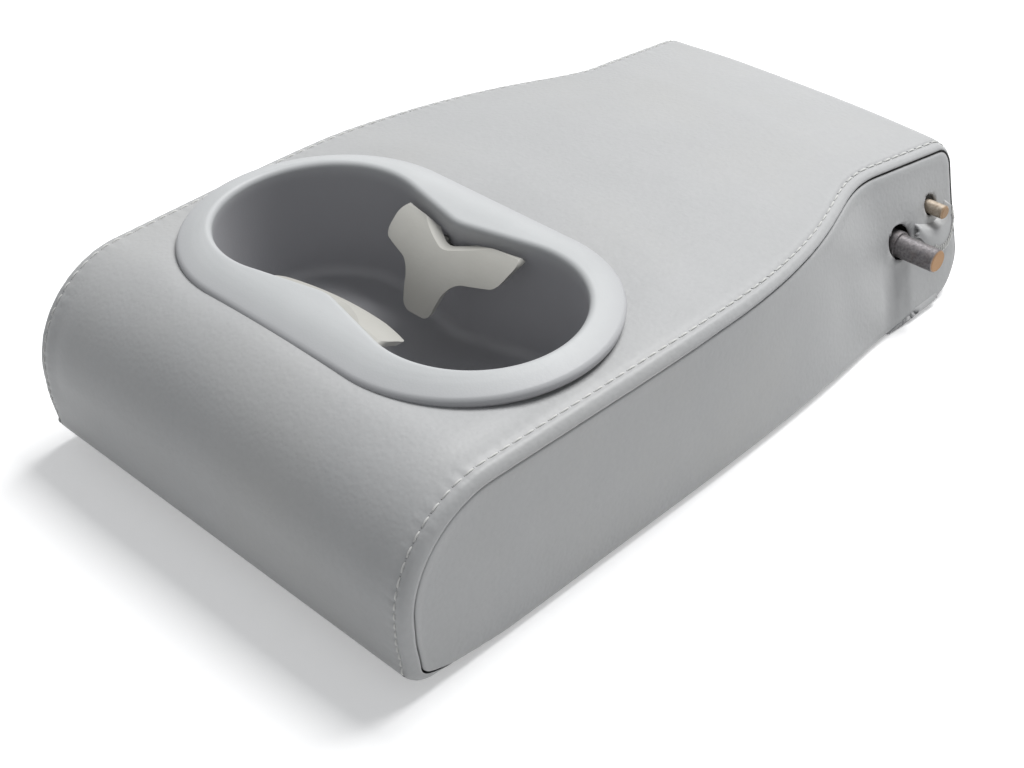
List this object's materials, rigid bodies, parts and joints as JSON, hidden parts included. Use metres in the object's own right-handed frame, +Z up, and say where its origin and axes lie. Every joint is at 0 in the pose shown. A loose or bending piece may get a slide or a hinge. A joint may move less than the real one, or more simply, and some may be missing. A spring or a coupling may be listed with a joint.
{
  "type": "rear seat armrest",
  "caption": "Fold-down car rear seat armrest: padded leather-look cover, inset cup holder with sprung grippers, narrower rear end with steel pivot and stop pins.",
  "frame": {"origin": "middle of the flat underside", "axes": "+X to the right side, along the pivot; +Y to the rear, hinge end; +Z up, out of the cup wells"},
  "size_m": [0.21, 0.3444, 0.0859],
  "materials": {
    "cover": "satin light-grey synthetic leather with fine grain",
    "lining": "matte dark-grey felt lining",
    "foam": "matte moulded foam",
    "cup_plastic": "fine satin light-grey moulding",
    "gripper_plastic": "matte warm-grey, slightly aged",
    "frame_steel": "black satin coating",
    "pin_steel": "worn, slightly rusty at the ends",
    "spring_steel": "plain",
    "fasteners": "zinc plated",
    "bush_plastic": "black"
  },
  "bodies": {
    "armrest": {"base_pan": "frame_steel", "bottom_panel": "lining", "bracket_bolts": "fasteners", "bush_left": "bush_plastic", "bush_right": "bush_plastic", "cup_holder": "cup_plastic", "cup_holder_screws": "fasteners", "foam_pad": "foam", "gripper_pin_front": "pin_steel", "gripper_pin_rear": "pin_steel", "gripper_spring_front": "spring_steel", "gripper_spring_rear": "spring_steel", "hinge_bracket_left": "frame_steel", "hinge_bracket_right": "frame_steel", "hinge_tube": "frame_steel", "hook_strip_left": "bush_plastic", "hook_strip_right": "bush_plastic", "side_panel_left": "cover", "side_panel_right": "cover", "stop_pin_left": "pin_steel", "stop_pin_right": "pin_steel", "top_panel": "cover"},
    "front_gripper": {"gripper_front": "gripper_plastic"},
    "rear_gripper": {"gripper_rear": "gripper_plastic"},
    "pivot": {"pivot_shaft": "pin_steel", "retaining_ring_left": "pin_steel", "retaining_ring_right": "pin_steel"}
  },
  "joints": [
    {"name": "rear_gripper_hinge", "type": "hinge", "parent": "armrest", "child": "rear_gripper", "pos_m": [0, -0.039, 0.075], "axis": [1, 0, 0], "range_deg": [0, 35], "stiffness_Nm_per_rad": 0.05, "springref_deg": -20.05, "deforming": ["gripper_spring_rear"]},
    {"name": "front_gripper_hinge", "type": "hinge", "parent": "armrest", "child": "front_gripper", "pos_m": [0, -0.113, 0.075], "axis": [-1, 0, 0], "range_deg": [0, 35], "stiffness_Nm_per_rad": 0.05, "springref_deg": -20.05, "deforming": ["gripper_spring_front"]},
    {"name": "armrest_fold", "type": "hinge", "parent": "armrest", "child": "pivot", "pos_m": [0, 0.127, 0.0305], "axis": [1, 0, 0], "range_deg": [0, 100]}
  ]
}
